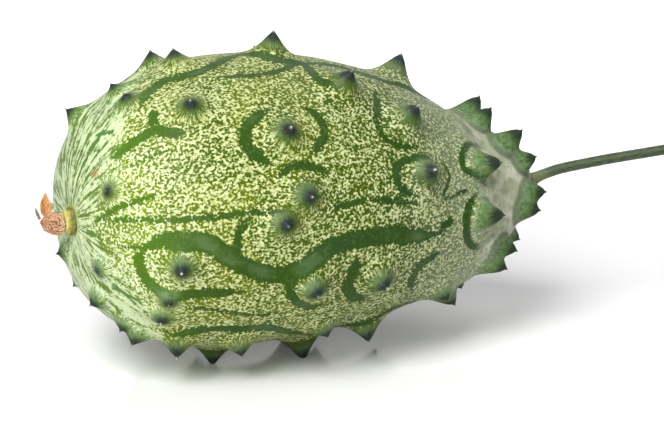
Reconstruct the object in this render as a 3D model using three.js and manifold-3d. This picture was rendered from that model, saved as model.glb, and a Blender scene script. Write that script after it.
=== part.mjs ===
// A horned melon as picked, lying on three of its horns, with its stem and the withered flower.
// Millimetres, +Z up, +X towards the stem. The origin is on the surface it lies on, under the middle.
//
// The fruit is described by a station and an angle. A station is the distance along the fruit from
// its widest ring, positive towards the stem. An angle goes round it: 0 is the -Y side, 90 the top.
import * as THREE from "three";
import { mergeVertices } from "three/addons/utils/BufferGeometryUtils.js";
import Module from "manifold-3d";

const wasm = await Module();
wasm.setup();

const GAP = 0.3; // between pieces that touch

// Where the widest ring's centre lies, and how the fruit tips as it rests.
const WIDEST_X = -37.8;
const AXIS_HEIGHT = 40.5;
const RISE_TO_STEM = 0.8; // degrees

// The rind without its horns.
const BODY_RADIUS = 35.7;
const BLOSSOM_LENGTH = 40.8; // widest ring to the blossom end
const STEM_LENGTH = 81.8; // widest ring to the stem end
const BLOSSOM_POWER = 0.357; // under a half is blunt, over a half is pointed
const STEM_POWER = 0.62;
const BODY_SIDES = 42;
const BODY_RINGS = 24;

// The centre line sags towards the stem, and lifts and turns in again just before it.
const SAG_SQUARE = -2.25; // at SAG_STATION
const SAG_CUBE = -3.4;
const SAG_STATION = 60;
const STEM_TURN = { start: 0.75, side: -1.8, lift: 9.6 }; // start as a share of STEM_LENGTH
const BLOSSOM_TURN = { start: 0.7, side: 2.5, lift: -0.5 };

// A horn is a witch's hat: height * exp(-(r / spread) ^ HORN_POWER) at radius r.
const HORN_POWER = 1.5;
const HORN_SPREAD = { base: 2.2, perHeight: 0.2 };
const HORN_SIDES = 7;
const HORN_RINGS = [1.5, 0.95, 0.5, 0.2]; // radii of the modelled cone's rings, as shares of spread
const HORN_FOOT = { ring: 1.9, sink: 1.2 }; // the lowest ring, inside the rind

// The stem, and the flare where it joins the fruit.
const STEM_RADIUS = 1.35;
const STEM_RIB = 0.1;
const STEM_RIBS = 5;
const STEM_STEPS = 24;
const STEM_ROUTE = [
  [GAP, 0],
  [2.2, 0.75],
  [5.6, 1.75],
  [9.2, 2.45],
  [16, 3.2],
  [24, 3.9],
  [33, 4.5],
  [43.3, 5.25],
]; // outwards and upwards from the stem end
const STEM_FLARE = { radius: 2.1, length: 3.2 };

// The withered flower stands on the blossom end.
const FLOWER = { x: -40.7, side: -4.2, lift: 0.1 }; // its foot, from the widest ring's centre
const RING_RADIUS = 3.4;
const RING_THICKNESS = 1.5;
const PETAL_THICKNESS = 0.6;

// Horns by lengthwise row: [station, angle, height].
const TOP = [
  [-34.2, 110, 4.4],
  [-27, 92, 3.2],
  [-15.2, 102, 4.7],
  [-12, 91, 4.8],
  [12.1, 90, 6.6],
  [14.7, 121, 4.6],
  [44.7, 94, 7.5],
  [67.5, 102, 8.2],
  [67.5, 82, 6.7],
];
const SHOULDER = [
  [-26.6, 74, 4],
  [-15.3, 55, 5],
  [24, 61, 6.5],
  [38.8, 49, 6],
  [72.4, 60, 6.6],
];
const BROW = [
  [-34.7, 28, 3],
  [4.5, 38, 5.5],
  [39.3, 22, 6],
  [59.5, 31, 6.8],
  [75.8, 40, 4.6],
];
const FRONT = [
  [0.7, 5, 5],
  [7, 14, 5],
  [59.3, 4, 6.3],
  [76.2, 1, 5.5],
];
const LOW_FRONT = [
  [-36.9, -26, 2.5],
  [-24, -28, 3],
  [-24.7, -38, 4],
  [-22.1, -10, 5],
  [9.2, -23, 4.8],
  [27.2, -24, 5.5],
  [74, -12, 5.4],
  [67, -27, 5],
  [65.2, -39, 5.1],
];
const UNDER_FRONT = [
  [-35.9, -54, 4],
  [-30.4, -61, 3.4],
  [-27.5, -63, 5],
  [-18.9, -57, 5.8],
  [-4.6, -55, 4.8],
  [17.3, -54, 3.8],
  [30.2, -65, 6.4],
  [50.3, -50, 4],
  [55.5, -66, 4.8],
  [74.4, -75, 4.7],
];
const UNDER = [
  [-40.4, -88, 2.8],
  [-22, -98, 4],
  [24.5, -96, 5.6],
  [41, -98, 5.6],
  [62.7, -94, 5],
];
const UNDER_BACK = [
  [-33, -124, 3.5],
  [-16, -126, 4.8],
  [-1, -122, 4.6],
  [33, -128, 5.8],
  [49, -122, 5.6],
  [60, -138, 5.8],
  [72, -118, 4.8],
];
const BACK = [
  [-28, -154, 3.6],
  [-9, -150, 5],
  [8, -144, 5.4],
  [21, -158, 5.8],
  [41, -150, 6],
  [56, -162, 6],
  [70, -152, 5.4],
];
const HIGH_BACK = [
  [-31, 174, 3.4],
  [-19, 178, 4.6],
  [-3, -174, 5.2],
  [13, 172, 5.6],
  [31, 178, 6],
  [47, 170, 6.2],
  [66, 178, 5.8],
  [77, -172, 4.6],
];
const FAR_SHOULDER = [
  [-26, 146, 3.8],
  [-9, 148, 5],
  [4, 143, 5.2],
  [25, 150, 5.8],
  [38, 142, 5.6],
  [54, 146, 5.8],
  [72, 148, 5.2],
];
// The horns that the fruit rests on: each reaches just past the surface and is blunted flat by it.
const RESTING = [
  [-5.2, -85, 5.7],
  [16.5, -80, 7.15],
  [19.5, -105, 8.3],
];
const FRONT_ROWS = [TOP, SHOULDER, BROW, FRONT, LOW_FRONT, UNDER_FRONT];
const BACK_ROWS = [UNDER, UNDER_BACK, BACK, HIGH_BACK, FAR_SHOULDER];
const HORNS = [...FRONT_ROWS, ...BACK_ROWS, RESTING].flat();

// ---- the rind's shape ----

function ease(share) {
  return THREE.MathUtils.smoothstep(share, 0, 1);
}

function ringRadius(station) {
  const length = station < 0 ? BLOSSOM_LENGTH : STEM_LENGTH;
  const power = station < 0 ? BLOSSOM_POWER : STEM_POWER;
  return BODY_RADIUS * Math.max(0, 1 - (station / length) ** 2) ** power;
}

function ringCentre(station) {
  const blossom = ease((-station / BLOSSOM_LENGTH - BLOSSOM_TURN.start) / (1 - BLOSSOM_TURN.start));
  const stem = ease((station / STEM_LENGTH - STEM_TURN.start) / (1 - STEM_TURN.start));
  const sag = station / SAG_STATION;
  const side = blossom * BLOSSOM_TURN.side + stem * STEM_TURN.side;
  const lift = blossom * BLOSSOM_TURN.lift + stem * STEM_TURN.lift;
  return new THREE.Vector3(station, side, lift + SAG_SQUARE * sag ** 2 + SAG_CUBE * sag ** 3);
}

// Tips a point of the fruit and stands it at its height above the surface.
function settle(point) {
  return point
    .applyAxisAngle(new THREE.Vector3(0, -1, 0), THREE.MathUtils.degToRad(RISE_TO_STEM))
    .add(new THREE.Vector3(WIDEST_X, 0, AXIS_HEIGHT));
}

function skinPoint(station, radians) {
  const radius = ringRadius(station);
  const across = new THREE.Vector3(0, -Math.cos(radians), Math.sin(radians));
  return settle(ringCentre(station).addScaledVector(across, radius));
}

function skinNormal(station, radians) {
  const step = 0.01;
  const along = skinPoint(station + step, radians).sub(skinPoint(station - step, radians));
  const round = skinPoint(station, radians + step).sub(skinPoint(station, radians - step));
  return along.cross(round).normalize();
}

// ---- solids ----

function solidFrom(geometry) {
  const bare = geometry.clone();
  bare.deleteAttribute("normal");
  bare.deleteAttribute("uv");
  const merged = mergeVertices(bare, 1e-4);
  return new wasm.Manifold(
    new wasm.Mesh({
      numProp: 3,
      vertProperties: merged.attributes.position.array,
      triVerts: new Uint32Array(merged.index.array),
    }),
  );
}

function geometryFrom(solid) {
  const { numProp, vertProperties, triVerts } = solid.getMesh();
  const geometry = new THREE.BufferGeometry();
  geometry.setAttribute("position", new THREE.BufferAttribute(vertProperties, numProp));
  geometry.setIndex(new THREE.BufferAttribute(triVerts, 1));
  geometry.computeVertexNormals();
  return geometry;
}

function piece(name, geometry, colour, roughness) {
  const material = new THREE.MeshStandardMaterial({ color: colour, roughness, metalness: 0 });
  const mesh = new THREE.Mesh(geometry, material);
  mesh.name = name;
  return mesh;
}

// ---- fruit ----

// A unit sphere with its poles on X, drawn out to the rind's profile and centre line.
function bodySolid() {
  const geometry = new THREE.SphereGeometry(1, BODY_SIDES, BODY_RINGS).rotateZ(-Math.PI / 2);
  const position = geometry.attributes.position;
  const point = new THREE.Vector3();
  for (let i = 0; i < position.count; i += 1) {
    point.fromBufferAttribute(position, i);
    const station = point.x * (point.x < 0 ? BLOSSOM_LENGTH : STEM_LENGTH);
    const skin = skinPoint(station, Math.atan2(point.z, -point.y));
    position.setXYZ(i, skin.x, skin.y, skin.z);
  }
  return solidFrom(geometry);
}

function hornSolid([station, angle, height]) {
  const radians = THREE.MathUtils.degToRad(angle);
  const spread = HORN_SPREAD.base + HORN_SPREAD.perHeight * height;
  const profile = [
    new THREE.Vector2(0, -2 * HORN_FOOT.sink),
    new THREE.Vector2(HORN_FOOT.ring * spread, -HORN_FOOT.sink),
  ];
  HORN_RINGS.forEach((share) => {
    profile.push(new THREE.Vector2(share * spread, height * Math.exp(-(share ** HORN_POWER))));
  });
  profile.push(new THREE.Vector2(0, height));
  const normal = skinNormal(station, radians);
  const turn = new THREE.Quaternion().setFromUnitVectors(new THREE.Vector3(0, 1, 0), normal);
  const geometry = new THREE.LatheGeometry(profile, HORN_SIDES).applyQuaternion(turn);
  const foot = skinPoint(station, radians);
  return solidFrom(geometry.translate(foot.x, foot.y, foot.z));
}

// What lies below the surface that the fruit rests on.
function groundSolid() {
  const depth = 20;
  const geometry = new THREE.BoxGeometry(200, 120, depth).translate(WIDEST_X, 0, -depth / 2);
  return solidFrom(geometry);
}

function fruit() {
  let solid = bodySolid();
  HORNS.forEach((horn) => {
    solid = solid.add(hornSolid(horn));
  });
  solid = solid.subtract(groundSolid());
  return piece("fruit", geometryFrom(solid), 0x6f9440, 0.5);
}

// ---- stem ----

function stemSection() {
  const outline = new THREE.Shape();
  const corners = 2 * STEM_RIBS;
  for (let i = 0; i < corners; i += 1) {
    const radius = STEM_RADIUS + (i % 2 ? -STEM_RIB : STEM_RIB);
    const turn = (2 * Math.PI * i) / corners;
    const x = radius * Math.cos(turn);
    const y = radius * Math.sin(turn);
    if (i === 0) outline.moveTo(x, y);
    else outline.lineTo(x, y);
  }
  outline.closePath();
  return outline;
}

// Leaves the stem end rising, and straightens as it goes.
function stemRoute() {
  const foot = skinPoint(STEM_LENGTH, 0);
  const points = STEM_ROUTE.map(([x, z]) => new THREE.Vector3(foot.x + x, foot.y, foot.z + z));
  return new THREE.CatmullRomCurve3(points);
}

function stemFlare(route) {
  const { radius, length } = STEM_FLARE;
  const profile = [
    new THREE.Vector2(0, 0),
    new THREE.Vector2(radius, 0),
    new THREE.Vector2(0.72 * radius, 0.35 * length),
    new THREE.Vector2(0.98 * STEM_RADIUS, length),
    new THREE.Vector2(0, length),
  ];
  const up = new THREE.Vector3(0, 1, 0);
  const turn = new THREE.Quaternion().setFromUnitVectors(up, route.getTangent(0.02));
  const start = route.getPoint(0);
  const geometry = new THREE.LatheGeometry(profile, 2 * STEM_RIBS).applyQuaternion(turn);
  return solidFrom(geometry.translate(start.x, start.y, start.z));
}

function stem() {
  const route = stemRoute();
  const settings = { steps: STEM_STEPS, extrudePath: route };
  const shaft = solidFrom(new THREE.ExtrudeGeometry(stemSection(), settings));
  return piece("stem", geometryFrom(shaft.add(stemFlare(route))), 0x56663f, 0.7);
}

// ---- withered flower ----

const flowerFoot = settle(new THREE.Vector3(FLOWER.x, FLOWER.side, FLOWER.lift));

// Lathed about the line that runs out of the blossom end; the profile is [radius, height] pairs.
function standing(profile, sides) {
  const points = profile.map(([radius, height]) => new THREE.Vector2(radius, height));
  const geometry = new THREE.LatheGeometry(points, sides).rotateZ(Math.PI / 2);
  return geometry.translate(flowerFoot.x, flowerFoot.y, flowerFoot.z);
}

function flowerRing() {
  const top = GAP + RING_THICKNESS;
  const profile = [
    [0, GAP],
    [0.9 * RING_RADIUS, GAP],
    [RING_RADIUS, GAP + 0.4 * RING_THICKNESS],
    [0.88 * RING_RADIUS, top - 0.15],
    [0.7 * RING_RADIUS, top],
    [0, top],
  ];
  return piece("flower_ring", standing(profile, 20), 0xc8bb55, 0.6);
}

function witheredCorolla() {
  const foot = RING_THICKNESS + 2 * GAP;
  const profile = [
    [0, foot],
    [2.3, foot],
    [2.85, foot + 1.4],
    [2.8, foot + 2.9],
    [2.2, foot + 4.3],
    [1.1, foot + 5.4],
    [0, foot + 5.8],
  ];
  return piece("withered_corolla", standing(profile, 14), 0xa9785a, 0.85);
}

// A dried petal: a flat outline standing on edge along the flower; x runs out, y runs up.
function petal(name, outline, colour) {
  const shape = new THREE.Shape();
  shape.moveTo(...outline[0]);
  shape.splineThru(outline.slice(1).map(([x, y]) => new THREE.Vector2(x, y)));
  const settings = { depth: PETAL_THICKNESS, bevelEnabled: false, curveSegments: 3 };
  const geometry = new THREE.ExtrudeGeometry(shape, settings).rotateX(Math.PI / 2);
  geometry.translate(flowerFoot.x, flowerFoot.y + PETAL_THICKNESS / 2, flowerFoot.z);
  return piece(name, geometry, colour, 0.85);
}

function upperPetal() {
  const outline = [
    [-5.4, 3.2],
    [-4.1, 3.9],
    [-4.5, 5.6],
    [-6, 7.4],
    [-7.3, 6.1],
    [-7.7, 4.5],
    [-6.9, 3.5],
    [-5.4, 3.2],
  ];
  return petal("petal_upper", outline, 0xc08048);
}

function outerPetal() {
  const outline = [
    [-8, 1.5],
    [-7.7, 2],
    [-8, 3.1],
    [-8.6, 4],
    [-8.9, 3.7],
    [-8.6, 2.3],
    [-8, 1.5],
  ];
  return petal("petal_outer", outline, 0xa38b78);
}

const melon = new THREE.Group();
melon.add(fruit(), stem(), flowerRing(), witheredCorolla(), upperPetal(), outerPetal());

export default melon;
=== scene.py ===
"""A horned melon as picked, lying on three of its horns, with its stem and the withered flower.

The rind is one fine surface over the CAD fruit: a grid of rings, drawn in towards each horn so that
its tip is fine, and raised by every horn. Numbers kept on the grid's points, such as how far the
nearest dark band is, drive the rind's colours.

Lengths are millimetres in the CAD's frame. A mesh is turned into metres when it is made.
"""

import functools
import math

import bpy
import numpy as np
from mathutils import Matrix, Vector, noise


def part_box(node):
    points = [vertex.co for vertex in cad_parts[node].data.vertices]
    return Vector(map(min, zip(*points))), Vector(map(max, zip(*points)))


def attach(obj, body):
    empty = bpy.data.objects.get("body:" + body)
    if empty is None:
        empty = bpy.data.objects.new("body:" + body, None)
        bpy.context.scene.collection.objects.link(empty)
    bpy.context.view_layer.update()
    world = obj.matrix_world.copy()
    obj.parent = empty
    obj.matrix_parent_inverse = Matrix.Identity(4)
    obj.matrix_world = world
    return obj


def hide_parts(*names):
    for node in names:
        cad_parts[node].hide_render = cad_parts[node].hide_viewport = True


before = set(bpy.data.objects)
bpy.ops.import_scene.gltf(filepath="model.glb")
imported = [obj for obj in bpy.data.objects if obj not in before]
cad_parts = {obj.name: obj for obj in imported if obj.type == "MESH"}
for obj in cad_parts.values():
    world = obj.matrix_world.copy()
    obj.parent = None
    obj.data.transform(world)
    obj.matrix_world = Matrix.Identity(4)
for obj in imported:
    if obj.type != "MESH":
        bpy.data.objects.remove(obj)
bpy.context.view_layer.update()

MM = 0.001
SEED = 7

# ---- the fruit, as in the CAD ----
# A station is the distance along the fruit from its widest ring, positive towards the stem. An
# angle goes round it: 0 is the -Y side, 90 the top.

WIDEST_X = -37.8
AXIS_HEIGHT = 40.5
RISE_TO_STEM = math.radians(0.8)
BODY_RADIUS = 35.7
BLOSSOM_LENGTH = 40.8
STEM_LENGTH = 81.8
BLOSSOM_POWER = 0.357
STEM_POWER = 0.62
SAG_SQUARE = -2.25
SAG_CUBE = -3.4
SAG_STATION = 60
STEM_TURN = {"start": 0.75, "side": -1.8, "lift": 9.6}
BLOSSOM_TURN = {"start": 0.7, "side": 2.5, "lift": -0.5}
HORN_POWER = 1.5
HORN_SPREAD = {"base": 2.2, "per_height": 0.2}

# Horns by lengthwise row: (station, angle, height).
TOP = [
    (-34.2, 110, 4.4), (-27, 92, 3.2), (-15.2, 102, 4.7), (-12, 91, 4.8), (12.1, 90, 6.6),
    (14.7, 121, 4.6), (44.7, 94, 7.5), (67.5, 102, 8.2), (67.5, 82, 6.7),
]
SHOULDER = [(-26.6, 74, 4), (-15.3, 55, 5), (24, 61, 6.5), (38.8, 49, 6), (72.4, 60, 6.6)]
BROW = [(-34.7, 28, 3), (4.5, 38, 5.5), (39.3, 22, 6), (59.5, 31, 6.8), (75.8, 40, 4.6)]
FRONT = [(0.7, 5, 5), (7, 14, 5), (59.3, 4, 6.3), (76.2, 1, 5.5)]
LOW_FRONT = [
    (-36.9, -26, 2.5), (-24, -28, 3), (-24.7, -38, 4), (-22.1, -10, 5), (9.2, -23, 4.8),
    (27.2, -24, 5.5), (74, -12, 5.4), (67, -27, 5), (65.2, -39, 5.1),
]
UNDER_FRONT = [
    (-35.9, -54, 4), (-30.4, -61, 3.4), (-27.5, -63, 5), (-18.9, -57, 5.8), (-4.6, -55, 4.8),
    (17.3, -54, 3.8), (30.2, -65, 6.4), (50.3, -50, 4), (55.5, -66, 4.8), (74.4, -75, 4.7),
]
UNDER = [(-40.4, -88, 2.8), (-22, -98, 4), (24.5, -96, 5.6), (41, -98, 5.6), (62.7, -94, 5)]
UNDER_BACK = [
    (-33, -124, 3.5), (-16, -126, 4.8), (-1, -122, 4.6), (33, -128, 5.8), (49, -122, 5.6),
    (60, -138, 5.8), (72, -118, 4.8),
]
BACK = [
    (-28, -154, 3.6), (-9, -150, 5), (8, -144, 5.4), (21, -158, 5.8), (41, -150, 6),
    (56, -162, 6), (70, -152, 5.4),
]
HIGH_BACK = [
    (-31, 174, 3.4), (-19, 178, 4.6), (-3, -174, 5.2), (13, 172, 5.6), (31, 178, 6),
    (47, 170, 6.2), (66, 178, 5.8), (77, -172, 4.6),
]
FAR_SHOULDER = [
    (-26, 146, 3.8), (-9, 148, 5), (4, 143, 5.2), (25, 150, 5.8), (38, 142, 5.6), (54, 146, 5.8),
    (72, 148, 5.2),
]
RESTING = [(-5.2, -85, 5.7), (16.5, -80, 7.15), (19.5, -105, 8.3)]
FRONT_HORNS = TOP + SHOULDER + BROW + FRONT + LOW_FRONT + UNDER_FRONT
BACK_HORNS = UNDER + UNDER_BACK + BACK + HIGH_BACK + FAR_SHOULDER
HORNS = np.array(FRONT_HORNS + BACK_HORNS + RESTING, float)

# Dark bands of the front: half the width, then the points it runs through as (station, angle).
FRONT_BANDS = [
    (1.6, [(6, 92), (0, 87), (-7, 79), (-14, 78), (-18, 79), (-23, 73), (-25, 66)]),
    (0.6, [(-18, 79), (-20, 85), (-25, 88), (-30, 86)]),
    (1.5, [(-35, 72), (-33, 66), (-31, 62)]),
    (1.5, [(-35, 47), (-30, 50), (-26, 52), (-24, 52), (-22, 49), (-18, 46)]),
    (1.3, [(-23, 62), (-24, 57), (-24, 53)]),
    (0.5, [(-31, 39), (-27, 40), (-21, 40)]),
    (1.0, [(-38, 92), (-34, 96), (-30, 102), (-24, 104)]),
    (1.3, [(3, 93), (8, 83), (12, 79), (17, 79), (18, 73), (18, 65), (21, 56)]),
    (1.0, [(-6, 71), (-2, 70), (4, 70), (10, 72), (14, 76), (17, 79)]),
    (1.3, [(17, 80), (22, 81), (28, 82), (33, 79), (40, 77), (47, 79), (54, 83)]),
    (1.6, [(2, 49), (-1.9, 46.5), (-4.4, 42.5), (-5.2, 37), (-3.8, 32), (-0.6, 28.5)]),
    (1.15, [(11, 51), (14, 46), (15, 40), (13, 34), (10, 30)]),
    (1.1, [(1, 23), (5, 26), (10, 25), (14, 22)]),
    (0.95, [(34, 68), (32, 56), (30, 44), (31, 37), (35, 34), (41, 34)]),
    (1.1, [(42.5, 30), (36.5, 28.5), (33, 25), (32, 19.5), (33.6, 14), (37.5, 11)]),
    (0.6, [(46, 30), (48, 24), (47, 17), (45, 12)]),
    (0.5, [(45, 9), (47, 11), (50, 13.5), (54, 16.5)]),
    (0.8, [(65, 49), (62, 52), (57.5, 47), (54, 39), (52.8, 32), (53.5, 27), (57, 24), (63, 21)]),
    (1.0, [(57, 16), (54, 10), (52.3, 3), (52.2, -5), (54, -14), (57.5, -19), (61, -15), (66, -9)]),
    (1.3, [(48, 0), (45, -4)]),
    (0.8, [(-40, 7), (-35, 11), (-30, 11), (-21, 10), (-14, 10), (-8, 10.5), (-2, 10), (4, 9.5)]),
    (0.8, [(11, 8.5), (19, 10), (25, 10.5), (31, 9.5), (38.5, 8)]),
    (0.9, [(-39, 8), (-37, 13), (-34, 18), (-30, 21), (-27, 22)]),
    (2.5, [
        (-34, -4), (-30, -3), (-27, 1), (-22, 1), (-17, 0), (-13, -5), (-9, -10), (-4, -14),
        (1, -16), (6, -14), (11, -9), (15, -6), (21, -5), (30, -5), (38, -7), (46, -7),
    ]),
    (1.6, [(-30, -3), (-31, -10), (-30, -18), (-27, -24), (-23, -25), (-17, -23), (-8, -22)]),
    (1.1, [(-10, -6), (-10, 0), (-9, 5), (-7, 8)]),
    (1.3, [(6, -15), (4, -19), (4, -25), (7, -31), (10.5, -35), (14, -34)]),
    (1.6, [(21, -12), (20, -18), (19, -25), (21, -32), (26, -38)]),
    (1.3, [(45, -17), (40, -22), (38, -29), (39, -38)]),
    (1.0, [(-37, -25), (-34, -33), (-30, -39), (-25, -45)]),
    (0.8, [(-39, -40), (-36, -50), (-32, -56), (-26, -61)]),
    (1.5, [(-23, -50), (-18, -47), (-12, -44), (-5, -44), (2, -46), (8, -54), (17, -66)]),
    (0.65, [(-22, -32), (-16, -31.5), (-10, -33), (-3.5, -35.5), (4, -36)]),
    (0.9, [(13, -66), (19, -67), (23.5, -64), (28, -58), (34, -55), (39, -54.5), (45, -56)]),
]
BAND_STEP = 0.7  # between the points along a band
BAND_TAPER = {"share": 0.16, "end": 0.25}  # how soon, and to what share, a band's ends narrow
BAND_STATIONS = (-39, 76)  # the hidden side's bands end here
BACK_ARCS = {
    "points": 7, "sweep": (150, 300), "reach": (5.2, 6.6), "wander": (0.92, 1.12),
    "stretch": 1.2, "least_ring": 8.0, "half": (0.8, 1.3),
}
BACK_WAVES = {
    "angles": range(116, 280, 15), "first": (-36, -20), "length": (18, 42), "gap": (4, 12),
    "last_start": 50, "last_end": 70, "step": 6, "sway": 5, "half": (0.45, 1.3),
}

# The rind's grid.
RING_POINTS = 440
RINGS = 224
POLE_MARGIN = 0.004  # share of the rind's length that's left to the fan at each end
HORN_REACH = 5.4  # how far round a horn the grid is drawn in
TIP_DRAW = 0.2  # the grid's spacing at a horn's tip, as a share of the plain one
CHUNK = 4000  # points measured against the bands at a time

# Horns as they look.
HORN_FIELD = 14  # a horn isn't felt beyond this
HORN_JOIN = 3  # higher makes a sharper join between horns, and between a horn and its mound
SPINE = {"height": 0.7, "radius": 0.24}  # the fine point on each horn that isn't worn flat
SMALL_HORN = 2.6  # shorter horns have paler tips
MOUND = {"share": 0.1, "radius": 5.5}  # the low rise that a horn stands on
HORN_LEAN = {"chance": 0.16, "stem": 0.2}  # steeper on one side
HORN_FAT = {"stations": (36, 60), "power": 0.7, "slim": 0.12, "turn": 0.22}  # by the stem
LUMPS = {"count": 26, "depth": 0.22, "shortest": 7, "longest": 30}

# The stem and the withered flower, as in the CAD. Routes and profiles are (out, up or radius).
GAP = 0.3
STEM_RADIUS = 1.35
STEM_FLARE = {"radius": 2.05, "length": 3.2, "rate": 2.2, "power": 1.3}
STEM_CUT = {"share": 0.86, "length": 2.5}  # the cut end's worn edge
STEM_RIBS = [(5, 0.07, 0.02), (23, 0.015, 0.05)]  # how many, how deep, and their twist
STEM_SKIN = {"sides": 72, "steps": 34, "body": 0.96, "rough": 0.035}
STEM_ROUTE = [
    (GAP, 0), (2.2, 0.75), (5.6, 1.75), (9.2, 2.45), (16, 3.2), (24, 3.9), (33, 4.5), (43.3, 5.25),
]
RING_RADIUS = 3.05
RING_TOP = GAP + 1.5
RING_SIDES = 96
RING_BUMPS = (0.5, 0.25, 0.1)  # slow, fine, and inwards on the whole
RING_PROFILE = [
    (-0.2, 0.1), (-0.2, 1.06 * RING_RADIUS), (0.2, 1.04 * RING_RADIUS), (GAP + 0.5, RING_RADIUS),
    (RING_TOP - 0.5, 0.93 * RING_RADIUS), (RING_TOP, 0.74 * RING_RADIUS), (RING_TOP, 0.1),
]
RING_STEPS = [3, 8, 8, 8, 8, 3]
COROLLA_FOOT = 1.5 + 2 * GAP
COROLLA_LENGTH = 5.2
COROLLA_SIDES = 168
COROLLA_PROFILE = [  # out is measured from the corolla's foot
    (0, 0.1), (0, 2.35), (1.4, 2.8), (2.9, 2.75), (4.2, 2.1), (COROLLA_LENGTH, 1.2), (5, 0.85),
    (4.1, 1.1), (3, 0.9), (2.8, 0.1),
]
COROLLA_STEPS = [4, 18, 18, 20, 16, 5, 12, 10, 5]
FOLDS = {"count": 11, "depth": 0.16, "twist": 5, "run": 3}
CRUMPLE = {"crease": 0.3, "fine": 0.1, "drift": 0.3, "inwards": 0.05}
MOUTH = {"start": 0.7, "span": 0.3, "ragged": 0.5}  # the corolla's open end
SAG = {"drop": 0.45, "start": 0.1, "span": 0.7}  # the corolla hangs a little at its foot
PETAL = {"sides": 56, "steps": 12, "half_thickness": 0.13, "least_width": 0.05}
PETAL_FACE = (0.25, -1.0, 0.1)
UPPER_LOBE = {  # out, side, up
    "spine": [(6.0, 0, 2.2), (6.2, -0.1, 3.5), (6.4, -0.2, 4.9), (6.3, -0.1, 6.2), (6.1, 0.1, 7.4)],
    "widths": [1.0, 1.8, 1.6, 0.85, 0.1],
    "cup": 0.22,
}
OUTER_LOBE = {
    "spine": [(7.65, 0, 1.1), (8.0, 0, 2.0), (8.4, -0.1, 3.1), (8.65, 0, 3.95)],
    "widths": [0.3, 0.42, 0.3, 0.08],
    "cup": 0.3,
}

# The rind's colours. A span is (from, to), in millimetres or stations.
SPECKLE = {"stretch": 0.85, "scale": 1.7, "dots": 1.15, "roundness": 0.08}
RAYS = {"span": (2.6, 5.0), "count": 12.0, "rate": 1.0}  # round each horn
HORN_SHIFT = (11.3, 7.7, 5.1)  # moves each horn's rays to another place in the noise
STREAKS = {"span": (14.0, 26.0), "count": 15.0, "rate": 0.14, "broken": 0.35}  # by the flower
STREAK_REACH = {"far_side": 22.0, "below": 12.0, "most": 30.0, "wander": 16.0}
LIGHT_END = (-33.0, -12.0)  # stations over which the flower's end colours fade
DEEP = (-10.0, 45.0)
DUSTY = (30.0, 62.0)
GREEN_HORNS = (46.0, 56.0)
GREEN_HORNS_END = (60.0, 66.0)
BLOOM = (62.0, 71.0)
STEM_TIPS = (45.0, 60.0)
LOW = (3.0, 13.0)  # heights over which the painted shade of the underside fades
SCAR = {"station": -36.9, "angle": 45, "core": 0.4, "radius": 2.1}

# The view and the light. Angles are in degrees.
VIEW = {"azimuth": -20, "elevation": 15, "roll": 0.67, "distance": 600, "right": 25.8, "up": -5.6}
LENS = {"sensor_width": 36, "lens": 132.9, "clip_start": 0.05, "clip_end": 20}
LAMP_DISTANCE = 1.1  # metres
LAMPS = {  # azimuth, elevation, size in metres, power in watts
    "key": (-47, 45, 0.55, 16.6),
    "top": (120, 70, 1.0, 5),
    "fill": (-30, 4, 0.8, 10),
}
BACKDROP_WAY = (0.34, 0.94, 0)
WORLD_LEVEL = 0.06
ROOM_LEVEL = 0.25  # what a reflection sees of the room's near side
WHITE = (1, 1, 1, 1)
FLOOR = {
    "half": 3000, "drop": 0.02, "colour": (0.9, 0.9, 0.9, 1), "roughness": 0.12, "specular": 0.28,
}
FLOOR_GLOW = {"span": (120.0, 260.0), "most": 0.6}  # keeps the far floor white


def ease(share):
    share = np.clip(share, 0, 1)
    return share * share * (3 - 2 * share)


def ramp(value, start, end):
    """Eases from 0, where value is at start, to 1."""
    return ease((value - start) / (end - start))


def ring_radius(station):
    length = np.where(station < 0, BLOSSOM_LENGTH, STEM_LENGTH)
    power = np.where(station < 0, BLOSSOM_POWER, STEM_POWER)
    return BODY_RADIUS * np.maximum(0, 1 - (station / length) ** 2) ** power


def ring_centre(station):
    blossom = ramp(-station / BLOSSOM_LENGTH, BLOSSOM_TURN["start"], 1)
    stem = ramp(station / STEM_LENGTH, STEM_TURN["start"], 1)
    sag = station / SAG_STATION
    side = blossom * BLOSSOM_TURN["side"] + stem * STEM_TURN["side"]
    lift = blossom * BLOSSOM_TURN["lift"] + stem * STEM_TURN["lift"]
    return np.stack([station, side, lift + SAG_SQUARE * sag**2 + SAG_CUBE * sag**3], -1)


def settle(points):
    """Tips points of the fruit and stands them at their height above the surface."""
    x, y, z = points[..., 0], points[..., 1], points[..., 2]
    cos, sin = math.cos(RISE_TO_STEM), math.sin(RISE_TO_STEM)
    return np.stack([x * cos - z * sin + WIDEST_X, y, x * sin + z * cos + AXIS_HEIGHT], -1)


def skin_point(station, angle):
    station, angle = np.broadcast_arrays(station, angle)
    radius = ring_radius(station)
    across = np.stack([0 * angle, -radius * np.cos(angle), radius * np.sin(angle)], -1)
    return settle(ring_centre(station) + across)


def skin_normal(station, angle):
    step = 0.01
    along = skin_point(station + step, angle) - skin_point(station - step, angle)
    round_it = skin_point(station, angle + step) - skin_point(station, angle - step)
    return unit(np.cross(along, round_it))


def unit(vectors):
    return vectors / np.maximum(np.linalg.norm(vectors, axis=-1, keepdims=True), 1e-9)


class Meridian:
    """Turns a station into the distance along the rind from the blossom end, and back."""

    turns = np.linspace(-math.pi / 2, math.pi / 2, 6001)
    stations = np.sin(turns) * np.where(turns < 0, BLOSSOM_LENGTH, STEM_LENGTH)
    steps = np.hypot(np.diff(stations), np.diff(ring_radius(stations)))
    arcs = np.concatenate([[0], np.cumsum(steps)])
    length = arcs[-1]

    @classmethod
    def arc(cls, station):
        return np.interp(station, cls.stations, cls.arcs)

    @classmethod
    def station(cls, arc):
        return np.interp(arc, cls.arcs, cls.stations)


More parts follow.
